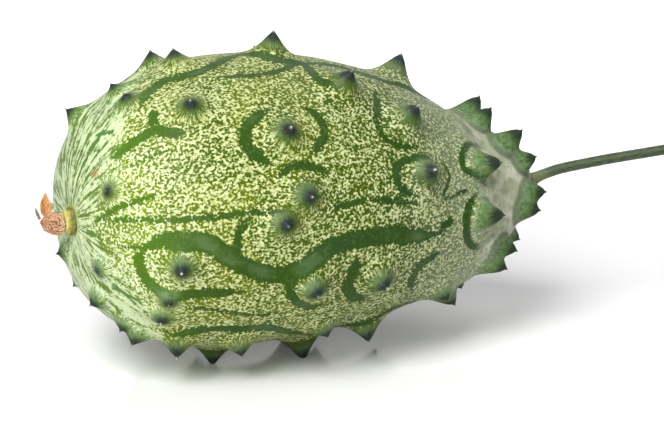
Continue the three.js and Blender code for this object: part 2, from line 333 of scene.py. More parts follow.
class Horns:
    """Each horn's foot, axis and size.

    By the stem a horn's foot is moved towards the flower under its tip, so that it points out.
    """

    station, degrees, height = HORNS.T
    angle = np.radians(degrees)
    ring = ring_radius(station)
    under_tip = skin_point(station, angle)
    upright = skin_normal(station, angle)
    tip = under_tip + upright * height[:, None]
    side = unit(np.cross(upright, [0.0, 0.0, 1.0]))
    rise = np.cross(side, upright)
    gaps = np.linalg.norm(under_tip[:, None] - under_tip[None], axis=-1) + 99 * np.eye(len(HORNS))
    reach = np.minimum(HORN_REACH, 0.5 * gaps.min(1))

    worn = np.arange(len(HORNS)) >= len(HORNS) - len(RESTING)
    fat = ramp(station, *HORN_FAT["stations"])
    power = HORN_POWER + HORN_FAT["power"] * fat
    width = HORN_SPREAD["base"] + HORN_SPREAD["per_height"] * height
    spread = width * (1 - HORN_FAT["slim"] * fat)
    arc = Meridian.arc(station) - HORN_FAT["turn"] * fat * height
    foot_station = Meridian.station(arc)
    foot = skin_point(foot_station, angle)
    axis = skin_normal(foot_station, angle)
    length = np.linalg.norm(tip - foot, axis=-1)
    aim = unit(tip - foot)

    stemward = unit(skin_point(foot_station + 0.1, angle) - foot)
    chance = np.random.default_rng(SEED).uniform(-1, 1, (2, len(HORNS), 1)) * HORN_LEAN["chance"]
    lean = stemward * (HORN_LEAN["stem"] * fat)[:, None] + side * chance[0] + rise * chance[1]
    lean[worn] = 0


# ---- the rind's surface ----


def wrap(angle):
    return (angle + math.pi) % (2 * math.pi) - math.pi


def drawn_grid():
    """Arc and angle of every grid point, with the points near each horn drawn in to its tip."""
    margin = POLE_MARGIN * Meridian.length
    arcs = np.linspace(margin, Meridian.length - margin, RINGS)
    angles = np.linspace(-math.pi, math.pi, RING_POINTS, endpoint=False)
    arc, angle = (part.ravel().copy() for part in np.meshgrid(arcs, angles, indexing="ij"))
    radius = ring_radius(Meridian.station(arc))
    for i in range(len(HORNS)):
        scale = np.sqrt(radius * Horns.ring[i])
        along = arc - Horns.arc[i]
        round_it = wrap(angle - Horns.angle[i])
        distance = np.hypot(along, round_it * scale)
        near = np.flatnonzero(distance < Horns.reach[i])
        draw = TIP_DRAW + (1 - TIP_DRAW) * distance[near] / Horns.reach[i]
        draw[np.argmin(distance[near])] = 0
        arc[near] = Horns.arc[i] + along[near] * draw
        angle[near] = Horns.angle[i] + round_it[near] * draw
    return arc, angle


def lumps(points):
    """How far the skin dips at each point: slow waves in every direction, never outwards."""
    chance = np.random.default_rng(SEED)
    depth = np.zeros(len(points))
    for _ in range(LUMPS["count"]):
        length = chance.uniform(LUMPS["shortest"], LUMPS["longest"])
        wave = unit(chance.normal(size=3)) * 2 * math.pi / length
        depth += np.cos(points @ wave + chance.uniform(0, 2 * math.pi))
    return LUMPS["depth"] * (0.5 + 0.5 * np.tanh(depth / math.sqrt(LUMPS["count"])))


def horn_rise(i, offset, distance):
    """How high the i-th horn lifts the points at these offsets from its foot."""
    spine = 0 if Horns.worn[i] else SPINE["height"]
    felt = distance + offset @ Horns.lean[i]
    hat = np.exp(-((np.maximum(felt, 0) / Horns.spread[i]) ** Horns.power[i]))
    mound = MOUND["share"] * np.exp(-((distance / MOUND["radius"]) ** 2))
    cone = (Horns.length[i] - spine) * (hat**HORN_JOIN + mound**HORN_JOIN) ** (1 / HORN_JOIN)
    return cone + spine * np.exp(-((distance / SPINE["radius"]) ** 2))


def raise_horns(points, normals):
    """The rind with its horns, and for each point what the nearest horn looks like from it."""
    count = len(points)
    total, lean = np.zeros(count), np.zeros((count, 3))
    apart = np.full(count, 99.0)
    spot = np.full((count, 3), 50.0)
    share = np.zeros(count)
    for i in range(len(HORNS)):
        offset = points - Horns.foot[i]
        near = np.flatnonzero((offset**2).sum(-1) < HORN_FIELD**2)
        offset = offset[near]
        offset -= (offset @ Horns.axis[i])[:, None] * Horns.axis[i]
        distance = np.linalg.norm(offset, axis=-1)
        rise = horn_rise(i, offset, distance)
        total[near] += rise**HORN_JOIN
        lean[near] += (rise**HORN_JOIN)[:, None] * Horns.aim[i]
        share[near] = np.maximum(share[near], rise / max(Horns.length[i], SMALL_HORN))
        closer = distance < apart[near]
        chosen = near[closer]
        apart[chosen] = distance[closer]
        spot[chosen, 0] = offset[closer] @ Horns.side[i]
        spot[chosen, 1] = offset[closer] @ Horns.rise[i]
        spot[chosen, 2] = i
    raised = points + unit(lean) * (total ** (1 / HORN_JOIN))[:, None]
    raised -= normals * lumps(points)[:, None]
    raised[:, 2] = np.maximum(raised[:, 2], 0)
    return raised, spot, apart, share


def smooth_curve(points, counts):
    """Points along a Catmull-Rom curve through the given ones, counts[i] of them in the i-th span."""
    points = np.array(points, float)
    ends = np.concatenate([[2 * points[0] - points[1]], points, [2 * points[-1] - points[-2]]])
    curve = []
    for count, a, b, c, d in zip(counts, ends, ends[1:], ends[2:], ends[3:]):
        for t in np.linspace(0, 1, count, endpoint=False):
            start = 2 * b + (c - a) * t + (2 * a - 5 * b + 4 * c - d) * t**2
            curve.append((start + (3 * b - 3 * c + d - a) * t**3) / 2)
    curve.append(points[-1])
    return np.array(curve)


def band_route(points):
    """A band's route with a point every step or so."""
    points = np.array(points, float)
    spans = np.diff(points, axis=0) * (1, math.radians(BODY_RADIUS))
    counts = np.maximum(2, np.hypot(*spans.T) / BAND_STEP).astype(int)
    return smooth_curve(points, counts)


def clip_route(points):
    first, last = BAND_STATIONS
    return [(min(max(station, first), last), angle) for station, angle in points]


def back_bands():
    """Bands of the hidden side, grown the way the front's are: arcs round horns, waves between."""
    chance = np.random.default_rng(SEED)
    return back_arcs(chance) + back_waves(chance)


def back_arcs(chance):
    arcs = []
    for station, angle, _ in BACK_HORNS:
        start, sweep = chance.uniform(0, 360), chance.uniform(*BACK_ARCS["sweep"])
        reach = chance.uniform(*BACK_ARCS["reach"])
        ring = max(BACK_ARCS["least_ring"], float(ring_radius(np.array(station))))
        points = []
        for turn in np.radians(np.linspace(start, start + sweep, BACK_ARCS["points"])):
            wander = reach * chance.uniform(*BACK_ARCS["wander"])
            round_it = math.degrees(wander * math.sin(turn) / ring)
            along = BACK_ARCS["stretch"] * wander * math.cos(turn)
            points.append((station + along, angle + round_it))
        arcs.append((chance.uniform(*BACK_ARCS["half"]), clip_route(points)))
    return arcs


def back_waves(chance):
    waves = []
    sway = BACK_WAVES["sway"]
    for angle in BACK_WAVES["angles"]:
        start = chance.uniform(*BACK_WAVES["first"])
        while start < BACK_WAVES["last_start"]:
            end = start + chance.uniform(*BACK_WAVES["length"])
            points = []
            for station in np.arange(start, min(end, BACK_WAVES["last_end"]), BACK_WAVES["step"]):
                points.append((station, angle + chance.uniform(-sway, sway)))
            if len(points) > 2:
                waves.append((chance.uniform(*BACK_WAVES["half"]), clip_route(points)))
            start = end + chance.uniform(*BACK_WAVES["gap"])
    return waves


def band_distance(points):
    """Distance from each point to the nearest dark band's edge, negative inside the band."""
    centres, halves = [], []
    for half, route in FRONT_BANDS + back_bands():
        path = band_route(route)
        centres.append(skin_point(path[:, 0], np.radians(path[:, 1])))
        share = np.linspace(0, 1, len(path))
        taper = ease(np.minimum(share, 1 - share) / BAND_TAPER["share"])
        halves.append(half * (BAND_TAPER["end"] + (1 - BAND_TAPER["end"]) * taper))
    centres, halves = np.concatenate(centres), np.concatenate(halves)
    nearest = np.empty(len(points))
    for start in range(0, len(points), CHUNK):
        part = points[start : start + CHUNK]
        square = (part**2).sum(1)[:, None] + (centres**2).sum(1) - 2 * part @ centres.T
        nearest[start : start + CHUNK] = (np.sqrt(np.maximum(square, 0)) - halves).min(1)
    return nearest


# ---- meshes ----


def scene_object(name, data):
    thing = bpy.data.objects.new(name, data)
    bpy.context.scene.collection.objects.link(thing)
    return thing


def mesh_object(name, points, faces):
    """A smooth mesh in the scene, from points in millimetres."""
    mesh = bpy.data.meshes.new(name)
    mesh.from_pydata((np.asarray(points) * MM).tolist(), [], faces)
    mesh.polygons.foreach_set("use_smooth", [True] * len(mesh.polygons))
    return scene_object(name, mesh)


def keep_number(thing, name, values):
    """Keeps a number, or a vector, on every point of a mesh for its material to read."""
    values = np.asarray(values, np.float32)
    kind, key = ("FLOAT", "value") if values.ndim == 1 else ("FLOAT_VECTOR", "vector")
    layer = thing.data.attributes.new(name, kind, "POINT")
    layer.data.foreach_set(key, values.ravel())


def tube_faces(rings, points):
    """Quads between rings of points that close on themselves."""
    faces = []
    for low in range(0, (rings - 1) * points, points):
        for i in range(points):
            j = (i + 1) % points
            faces.append((low + i, low + points + i, low + points + j, low + j))
    return faces


def end_fan(centre, first, points, flipped):
    """Triangles from one point to a ring."""
    faces = []
    for i in range(points):
        j = (i + 1) % points
        faces.append((centre, first + j, first + i) if flipped else (centre, first + i, first + j))
    return faces


def closed_faces(rings, points):
    """Faces over rings of points and a middle point at each end, which come last in a mesh."""
    last = rings * points
    faces = tube_faces(rings, points)
    faces += end_fan(last, 0, points, True)
    return faces + end_fan(last + 1, last - points, points, False)


def loft(name, rings, **numbers):
    """A closed skin over rings of points, with a middle point at each end, and its numbers."""
    count, sides = rings.shape[:2]
    points = np.concatenate([rings.reshape(-1, 3), rings[[0, -1]].mean(1)])
    thing = mesh_object(name, points, closed_faces(count, sides))
    for key, values in numbers.items():
        ends = [values[0].mean(), values[-1].mean()]
        keep_number(thing, key, np.concatenate([values.ravel(), ends]))
    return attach(thing, "root")


def full_turn(sides):
    return np.linspace(0, 2 * math.pi, sides, endpoint=False)


def turned(profile, sides, counts):
    """Rings lathed about the line that runs out of the blossom end, from (out, radius) pairs."""
    line = smooth_curve(profile, counts)
    turn = full_turn(sides)
    out = np.repeat(-line[:, :1], sides, 1)
    radius = np.maximum(line[:, 1:], 0.02)
    spun = np.stack([out, radius * np.cos(turn), radius * np.sin(turn)], -1)
    return spun + flower_foot()


def wobble(points, size, seed=0.0):
    """Smooth random numbers between about -1 and 1, one for each point."""
    flat = np.reshape(points, (-1, 3)) / size + seed
    return np.array([noise.noise(Vector(point)) for point in flat]).reshape(points.shape[:-1])


def unrolled_layer(thing, round_share, along_share):
    """A map of the surface unrolled like a label, so that a bake spends its pixels evenly."""
    layer = thing.data.uv_layers.new(name="OFBake")
    for face in thing.data.polygons:
        shares = [round_share[i] for i in face.vertices]
        seam = max(shares) - min(shares) > 0.5
        for loop, share in zip(face.loop_indices, shares):
            index = thing.data.loops[loop].vertex_index
            layer.data[loop].uv = (share + 1 if seam and share < 0.5 else share, along_share[index])


# ---- the pieces ----


def make_rind():
    arc, angle = drawn_grid()
    station = Meridian.station(arc)
    skin = skin_point(station, angle)
    points, spot, apart, share = raise_horns(skin, skin_normal(station, angle))
    poles = skin_point(np.array([-BLOSSOM_LENGTH, STEM_LENGTH]), 0)
    rind = mesh_object("rind", np.concatenate([points, poles]), closed_faces(RINGS, RING_POINTS))
    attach(rind, "root")

    foot = flower_foot()
    around = np.arctan2(skin[:, 2] - foot[2], foot[1] - skin[:, 1])
    away = np.linalg.norm(skin - foot, axis=1)
    numbers = {
        "band": band_distance(skin),
        "horn": spot,
        "apart": apart,
        "share": share,
        "station": station,
        "streak": np.stack([np.cos(around), np.sin(around), away], -1),
    }
    for name, values in numbers.items():
        keep_number(rind, name, with_poles(values))
    round_share = (angle % (2 * math.pi)) / (2 * math.pi)
    unrolled_layer(rind, with_poles(round_share), with_poles(arc / Meridian.length))
    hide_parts("fruit")
    rind.data.materials.append(rind_material())


def with_poles(values):
    """The rind's numbers, with the first and last repeated for its two poles."""
    return np.concatenate([values, values[[0, -1]]])


def flower_foot():
    """Where the withered flower stands, from the CAD ring's box."""
    low, high = (np.array(corner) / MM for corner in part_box("flower_ring"))
    return np.array([high[0] + GAP, (low[1] + high[1]) / 2, (low[2] + high[2]) / 2])


def make_stem():
    """A ribbed stalk that widens where it leaves the fruit."""
    sides = STEM_SKIN["sides"]
    foot = skin_point(np.array(STEM_LENGTH), np.array(0.0))
    route = [(foot[0] + out, foot[1], foot[2] + up) for out, up in STEM_ROUTE]
    route = smooth_curve(route, [STEM_SKIN["steps"]] * (len(STEM_ROUTE) - 1))
    along = unit(np.gradient(route, axis=0))
    across = np.array([0.0, 1.0, 0.0])
    up = np.cross(along, across)
    reach = np.linalg.norm(route - route[0], axis=1)
    turn = full_turn(sides)
    near_foot = STEM_FLARE["rate"] * reach / STEM_FLARE["length"]
    flare = STEM_FLARE["radius"] / STEM_RADIUS - 1
    wide = 1 + flare * np.exp(-(near_foot ** STEM_FLARE["power"]))
    cut = np.minimum(1, STEM_CUT["share"] + (reach[-1] - reach) / STEM_CUT["length"])
    ribs = np.zeros((len(route), sides))
    for count, depth, twist in STEM_RIBS:
        ribs += depth * np.cos(count * turn + twist * reach[:, None])
    radius = STEM_RADIUS * (wide * cut)[:, None] * (STEM_SKIN["body"] + ribs)
    ring = np.cos(turn)[:, None] * across - np.sin(turn)[:, None] * up[:, None]
    rings = route[:, None] + radius[..., None] * ring
    rough = wobble(rings, 0.9) + 0.5 * wobble(rings, 0.35)
    rings += ring * (STEM_SKIN["rough"] * rough)[..., None]
    stem = loft("stem_skin", rings, reach=np.tile(reach[:, None], sides), rib=ribs)
    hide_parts("stem")
    stem.data.materials.append(stem_material())


def make_flower_ring():
    """The fleshy yellow ring that the withered flower stands on."""
    rings = turned(RING_PROFILE, RING_SIDES, RING_STEPS)
    axis = flower_foot()
    spoke = unit((rings - axis) * (0, 1, 1))
    slow, fine, inwards = RING_BUMPS
    squeeze = slow * wobble(rings, 1.6) + fine * wobble(rings, 0.7) - inwards
    rings += spoke * squeeze[..., None]
    ring = loft("fleshy_ring", rings, out=axis[0] - rings[..., 0])
    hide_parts("flower_ring")
    ring.data.materials.append(flower_ring_material())


def make_corolla():
    """The crumpled cup of the withered flower, with a ragged mouth."""
    profile = [(COROLLA_FOOT + out, radius) for out, radius in COROLLA_PROFILE]
    rings = turned(profile, COROLLA_SIDES, COROLLA_STEPS)
    axis = flower_foot()
    out = (axis[0] - rings[..., 0] - COROLLA_FOOT) / COROLLA_LENGTH
    turn = np.arctan2(rings[..., 2] - axis[2], rings[..., 1] - axis[1])
    drift = wobble(rings, 1.6)
    folds = np.sin(FOLDS["count"] * turn + FOLDS["twist"] * drift + FOLDS["run"] * out)
    drawn = (rings - axis) * (0.6, 1, 1)
    crease = 1 - 2 * np.abs(wobble(drawn, 0.55, 3.1))
    fine = 1 - 2 * np.abs(wobble(drawn, 0.24, 8.4))
    spoke = unit((rings - axis) * (0, 1, 1))
    depth = FOLDS["depth"] * folds * ease(out) + CRUMPLE["crease"] * (crease - 1)
    depth = depth + CRUMPLE["fine"] * (fine - 1) + CRUMPLE["drift"] * drift
    rings += spoke * (depth - CRUMPLE["inwards"])[..., None]
    mouth = MOUTH["ragged"] * ease((out - MOUTH["start"]) / MOUTH["span"])
    rings[..., 0] += mouth * (0.5 + wobble(rings, 0.9, 5.7))
    rings[..., 2] -= SAG["drop"] * (1 - ease((out - SAG["start"]) / SAG["span"]))
    corolla = loft("crumpled_corolla", rings, out=out, fold=0.6 * crease + 0.4 * fine)
    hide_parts("withered_corolla")
    corolla.data.materials.append(corolla_material())


def make_petal(name, node, lobe, material):
    """A dried lobe: a thin sheet along its spine, cupped and wrinkled."""
    sides = PETAL["sides"]
    spine = np.array(lobe["spine"]) * (-1, 1, 1) + flower_foot()
    counts = [PETAL["steps"]] * (len(spine) - 1)
    line = smooth_curve(spine, counts)
    width = smooth_curve([(value, 0) for value in lobe["widths"]], counts)[:, 0]
    along = unit(np.gradient(line, axis=0))
    across = unit(np.cross(along, PETAL_FACE))
    face = np.cross(across, along)
    turn = full_turn(sides)
    side = np.maximum(width, PETAL["least_width"])[:, None] * np.cos(turn)
    bowl = lobe["cup"] * side**2 + PETAL["half_thickness"] * np.sin(turn)
    rings = line[:, None] + side[..., None] * across[:, None] + bowl[..., None] * face[:, None]
    crumple = 0.22 * wobble(rings, 1.1, 2.2) + 0.1 * wobble(rings, 0.45, 4.4)
    rings += face[:, None] * crumple[..., None]
    share = np.tile(np.linspace(0, 1, len(line))[:, None], sides)
    petal = loft(name, rings, side=side / max(lobe["widths"]), along=share)
    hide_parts(node)
    petal.data.materials.append(material)


def make_petals():
    orange = petal_material("orange_lobe", "#CC9864", "#A87040", "#84854C")
    grey = petal_material("grey_lobe", "#8E7C6C", "#6C5848", "#9A8C7C")
    make_petal("upper_lobe", "petal_upper", UPPER_LOBE, orange)
    make_petal("outer_lobe", "petal_outer", OUTER_LOBE, grey)


# ---- materials ----


def colour(code):
    """A linear colour from a #rrggbb code."""
    shares = [int(code[i : i + 2], 16) / 255 for i in (1, 3, 5)]
    linear = [s / 12.92 if s <= 0.04045 else ((s + 0.055) / 1.055) ** 2.4 for s in shares]
    return (*linear, 1.0)


class Paint:
    """The node tree of a material or world. Each method adds a node and returns its output."""

    def __init__(self, owner):
        self.owner = owner
        owner.use_nodes = True
        self.tree = owner.node_tree
        self.tree.nodes.clear()

    def node(self, kind, inputs, output=0, **settings):
        node = self.tree.nodes.new(kind)
        for name, value in settings.items():
            setattr(node, name, value)
        for key, value in inputs.items():
            socket = node.inputs[key]
            if isinstance(value, bpy.types.NodeSocket):
                self.tree.links.new(value, socket)
            else:
                socket.default_value = value
        return node.outputs[output] if node.outputs else node

    @functools.cached_property
    def at(self):
        """Where the shaded point is, in millimetres."""
        return self.scaled(self.node("ShaderNodeTexCoord", {}, "Object"), (1 / MM,) * 3)

    def stored(self, name, output="Fac"):
        return self.node("ShaderNodeAttribute", {}, output, attribute_name=name)

    def vector(self, operation, *parts, output=0):
        return self.node("ShaderNodeVectorMath", dict(enumerate(parts)), output, operation=operation)

    def added(self, a, b):
        return self.vector("ADD", a, b)

    def scaled(self, vector, factors):
        """Multiplies a vector, or a number's three copies, part by part."""
        return self.vector("MULTIPLY", vector, factors)

    def length(self, vector):
        return self.vector("LENGTH", vector, output="Value")

    def split(self, vector, axis):
        return self.node("ShaderNodeSeparateXYZ", {0: vector}, axis)

    def sum(self, operation, first, *others):
        """Works from left to right."""
        for other in others:
            first = self.node("ShaderNodeMath", {0: first, 1: other}, operation=operation)
        return first

    def plus(self, *parts):
        return self.sum("ADD", *parts)

    def minus(self, *parts):
        return self.sum("SUBTRACT", *parts)

    def times(self, *parts):
        return self.sum("MULTIPLY", *parts)

    def fade(self, value, low, high, start=0.0, end=1.0):
        """Goes smoothly from start, where value is low, to end, where it is high."""
        inputs = {"Value": value, "From Min": low, "From Max": high, "To Min": start, "To Max": end}
        return self.node("ShaderNodeMapRange", inputs, interpolation_type="SMOOTHSTEP")

    def left(self, share, least):
        """What is left of 1 as a share rises to 1."""
        return self.fade(share, 0.0, 1.0, 1.0, least)

    def between(self, share, a, b):
        return self.node("ShaderNodeMix", {0: share, 2: a, 3: b})

    def noise(self, place, scale, detail=2.0, roughness=0.5, distortion=0.0):
        inputs = {"Vector": place, "Scale": scale, "Detail": detail, "Roughness": roughness}
        inputs["Distortion"] = distortion
        return self.node("ShaderNodeTexNoise", inputs, "Fac")

    def patches(self, scale, low, high, start=0.0, end=1.0, detail=2.0):
        """Noise over the piece, faded from start, where it is low, to end."""
        return self.fade(self.noise(self.at, scale, detail), low, high, start, end)

    def mixed(self, share, a, b):
        """Blends two colours, given as a node's output or a #rrggbb code."""
        a, b = (colour(tint) if isinstance(tint, str) else tint for tint in (a, b))
        return self.node("ShaderNodeMix", {0: share, 6: a, 7: b}, 2, data_type="RGBA")

    def bump(self, height, distance, strength):
        inputs = {"Height": height, "Distance": distance * MM, "Strength": strength}
        return self.node("ShaderNodeBump", inputs)

    def finish(self, **inputs):
        """Joins the Principled shader to the output. Underscores in names stand for spaces."""
        named = {name.replace("_", " "): value for name, value in inputs.items()}
        shader = self.node("ShaderNodeBsdfPrincipled", named)
        self.node("ShaderNodeOutputMaterial", {"Surface": shader})
        return self.owner


class RindPaint(Paint):
    """The rind's paint, with the measures that more than one part of it reads."""

    def __init__(self):
        super().__init__(bpy.data.materials.new("speckled_rind"))
        self.station = self.stored("station")
        self.share = self.stored("share")
        self.band = self.stored("band")
        self.read_horns()
        self.read_flower()
        self.patch = self.noise(self.at, 0.22)
        self.tone = self.patches(1.7, 0.35, 0.65)
        # Painted shade: horns low down by the table are darkened and lose speckle, as if in shade.
        low = self.fade(self.split(self.at, "Z"), *LOW, 1.0, 0.0)
        self.shaded = self.times(low, self.fade(self.share, 0.08, 0.3))

        ragged = self.plus(self.times(self.noise(self.at, 1.1, 2.5), 1.9), -0.85)
        ragged = self.times(ragged, self.fade(self.station, 42.0, 52.0, 1.0, 0.35))
        self.edge = self.plus(self.band, ragged, self.times(self.near_flower, 0.7))

        # Colours are lighter at the flower's end and deeper towards the stem.
        self.light = self.fade(self.station, *LIGHT_END, 1.0, 0.0)
        self.deep = self.fade(self.station, *DEEP)
        self.flower_tint = self.times(self.near_flower, 0.6)
        bloom_edge = self.plus(self.station, self.times(self.patch, 12.0))
        self.bloom = self.fade(bloom_edge, *BLOOM)

    def read_horns(self):
        """Round each horn the speckle runs out in fine rays."""
        horn = self.stored("horn", "Vector")
        self.aim = self.vector("NORMALIZE", self.scaled(horn, (1, 1, 0)))
        self.number = self.split(horn, "Z")
        self.apart = self.stored("apart")
        self.near_horn = self.fade(self.apart, *RAYS["span"], 1.0, 0.0)
        round_it = self.scaled(self.aim, (RAYS["count"], RAYS["count"], 0))
        out = self.scaled(self.apart, (0, 0, RAYS["rate"]))
        ray = self.added(self.added(round_it, out), self.scaled(self.number, HORN_SHIFT))
        self.ray_grain = self.noise(ray, 1.0, 1.2, 0.55)

    def read_flower(self):
        """Towards the flower the speckle draws out into long streaks."""
        streak = self.stored("streak", "Vector")
        front, up, self.away = (self.split(streak, axis) for axis in "XYZ")
        place = self.scaled(streak, (STREAKS["count"], STREAKS["count"], STREAKS["rate"]))
        broken = self.times(self.plus(self.noise(self.at, 0.9), -0.5), STREAKS["broken"])
        self.streak_grain = self.plus(self.noise(place, 1.0, 2.2, 0.6), broken)

        self.below = self.sum("MAXIMUM", self.times(up, -1.0), 0.0)
        reach = self.times(self.minus(1.0, front), STREAK_REACH["far_side"])
        reach = self.plus(reach, self.times(self.below, STREAK_REACH["below"]))
        beyond = self.minus(self.away, self.sum("MINIMUM", reach, STREAK_REACH["most"]))
        wander = self.times(self.noise(self.at, 0.16), STREAK_REACH["wander"])
        self.near_flower = self.fade(self.plus(beyond, wander), *STREAKS["span"], 1.0, 0.0)

    def zoned(self, blend, flower_end, middle, stem_end):
        """Pairs of colours for the flower's end, the middle and the stem's end, blended."""
        ends = [self.mixed(blend, *pair) for pair in (flower_end, middle, stem_end)]
        return self.mixed(self.light, self.mixed(self.deep, ends[1], ends[2]), ends[0])


def rind_material():
    p = RindPaint()
    over = p.minus(rind_grain(p), cream_limit(p))
    faint = p.patches(2.2, 0.3, 0.6, 0.65)
    soft = p.times(p.near_horn, p.fade(p.station, *GREEN_HORNS))
    speckle = p.times(
        p.fade(over, -0.07, 0.075),
        faint,
        p.left(p.near_flower, 0.9),
        p.left(p.shaded, 0.3),
        p.left(soft, 0.4),
    )
    core = p.times(p.fade(over, 0.05, 0.15, 0.0, 0.5), faint, p.left(p.near_flower, 0.2))
    skin = p.mixed(speckle, green_ground(p), cream(p))
    skin = p.mixed(core, skin, "#CCD2AE")
    # Painted shade on the underside's horns.
    skin = p.mixed(p.fade(p.shaded, 0.0, 1.0, 0.0, 0.6), skin, "#1E2C10")
    for covered in (dusted, scarred, bloomed, wax_and_painted_sheen, tipped):
        skin = covered(p, skin)

    fine = p.noise(p.at, 5.0, 3.0)
    rough = p.plus(p.fade(fine, 0.3, 0.7, 0.34, 0.5), p.times(p.bloom, 0.12))
    normal = p.bump(p.plus(p.times(speckle, 0.5), fine), 0.05, 0.6)
    return p.finish(Base_Color=skin, Roughness=rough, Normal=normal, IOR=1.42, Specular_IOR_Level=0.12)


def rind_grain(p):
    """The noise that the speckle is cut from, which differs by the flower and round a horn."""
    place = p.scaled(p.at, (SPECKLE["stretch"], 1.0, 1.0))
    cells = p.node("ShaderNodeTexVoronoi", {"Vector": place, "Scale": SPECKLE["dots"]}, "Distance")
    dots = p.times(p.fade(cells, 0.1, 0.75, 0.5, -0.5), SPECKLE["roundness"])
    plain = p.plus(p.noise(place, SPECKLE["scale"], 1.5, 0.5, 0.15), dots)
    return p.between(p.near_horn, p.between(p.near_flower, plain, p.streak_grain), p.ray_grain)


def cream_limit(p):
    """How high the grain has to be for the skin to be cream."""
    return p.plus(
        p.fade(p.patch, 0.3, 0.7, 0.462, 0.51),
        p.patches(0.6, 0.3, 0.7, -0.022, 0.022, detail=1.0),
        p.fade(p.station, -12.0, 12.0, -0.004, 0.014),
        p.fade(p.edge, -0.8, 0.4, 0.32, 0.0),
        p.fade(p.share, 0.15, 0.6, 0.0, 0.13),
        p.fade(p.share, 0.5, 0.75, 0.0, 0.25),
        p.fade(p.station, 56.0, 68.0, 0.0, 0.12),
        p.times(p.fade(p.below, 0.1, 0.8, 0.005, -0.03), p.near_flower),
    )


def green_ground(p):
    """The green between the speckle, with its dark bands."""
    cool = p.patches(0.09, 0.35, 0.65)
    ground = p.zoned(cool, ("#6E820C", "#587212"), ("#425402", "#344E06"), ("#324802", "#28420E"))
    olive = p.fade(p.noise(p.added(p.at, (31.0, 7.0, 3.0)), 0.07), 0.42, 0.6, 0.0, 0.55)
    olive = p.times(olive, p.fade(p.station, -5.0, 35.0, 1.0, 0.2))
    ground = p.mixed(olive, ground, "#626C00")
    ground = p.mixed(p.flower_tint, ground, "#4A7038")
    ground = p.mixed(p.patches(2.6, 0.35, 0.6, 0.5, 0.0), ground, "#2A3E08")

    band = p.zoned(cool, ("#42600E", "#40601C"), ("#2A4404", "#284212"), ("#243E08", "#223A1A"))
    dull = p.fade(p.noise(p.added(p.at, (3.0, 41.0, 9.0)), 0.11, 3.0), 0.48, 0.68, 0.0, 0.5)
    dull = p.times(dull, p.fade(p.band, -1.5, -0.5, 1.0, 0.2))
    band = p.mixed(dull, band, "#566E46")
    band = p.mixed(p.patches(1.6, 0.5, 0.75, 0.0, 0.22, detail=3.0), band, "#6C8A50")
    band = p.mixed(p.flower_tint, band, "#44703C")
    return p.mixed(p.fade(p.edge, -0.3, 0.4), band, ground)


def cream(p):
    pale = p.zoned(p.tone, ("#B0BC7E", "#C2CAA6"), ("#9AA45A", "#AEB27A"), ("#98A266", "#A8AC80"))
    return p.mixed(p.flower_tint, pale, "#C2D0AC")


def dusted(p, skin):
    """The skin turns greyer between the bands towards the stem."""
    dust = p.times(p.fade(p.station, *DUSTY, 0.0, 0.5), p.fade(p.patch, 0.3, 0.7, 0.6))
    return p.mixed(p.times(dust, p.fade(p.edge, -0.3, 0.4)), skin, "#98A288")


def scarred(p, skin):
    """A small rust-coloured scar lies near the flower."""
    middle = skin_point(SCAR["station"], math.radians(SCAR["angle"]))
    away = p.length(p.added(p.at, tuple(-middle)))
    away = p.plus(away, p.patches(1.3, 0.3, 0.7, -0.4, 0.4, detail=3.0))
    return p.mixed(p.fade(away, SCAR["core"], SCAR["radius"], 0.65, 0.0), skin, "#866030")


def bloomed(p, skin):
    """By the stem a grey bloom lies between the horns, whose flanks are plain green."""
    mottle = p.patches(1.1, 0.35, 0.65)
    green = p.mixed(mottle, "#3E5232", "#607A52")
    grey = p.mixed(p.fade(p.patch, 0.35, 0.65), "#94987F", "#B4B4A2")
    grey = p.mixed(p.patches(0.45, 0.5, 0.64, 0.0, 0.55), grey, "#6A8058")
    flank = p.mixed(p.fade(p.share, 0.08, 0.34), grey, green)
    rim = p.times(p.fade(p.share, 0.05, 0.12), p.fade(p.share, 0.16, 0.34, 0.75, 0.0))
    skin = p.mixed(p.bloom, skin, p.mixed(rim, flank, "#3E5236"))

    plain = p.times(
        p.fade(p.share, 0.1, 0.4, 0.0, 0.75),
        p.fade(p.station, *GREEN_HORNS),
        p.fade(p.station, *GREEN_HORNS_END, 1.0, 0.0),
    )
    skin = p.mixed(plain, skin, p.mixed(mottle, "#3C5628", "#6A8450"))
    by_ring = p.fade(p.plus(p.away, p.times(p.patch, 4.0)), 4.6, 7.2, 0.8, 0.0)
    return p.mixed(by_ring, skin, "#8C9638")


def wax_and_painted_sheen(p, skin):
    """A pale waxy bloom on the upper side of each horn, below the tip: partly the wax's own colour,
    partly a painted sheen on the side that faces the lamps.
    """
    # Painted sheen: paler on the side of each horn that faces up and towards the flower, where the
    # light falls.
    facing = p.plus(p.times(p.split(p.aim, "X"), 0.5), p.split(p.aim, "Y"))
    sheen = p.times(
        p.fade(facing, -0.4, 1.0),
        p.fade(p.apart, 1.4, 4.4, 0.42, 0.0),
        p.patches(0.7, 0.3, 0.6, 0.3),
        p.left(p.bloom, 0.35),
    )
    return p.mixed(sheen, skin, "#96A68A")


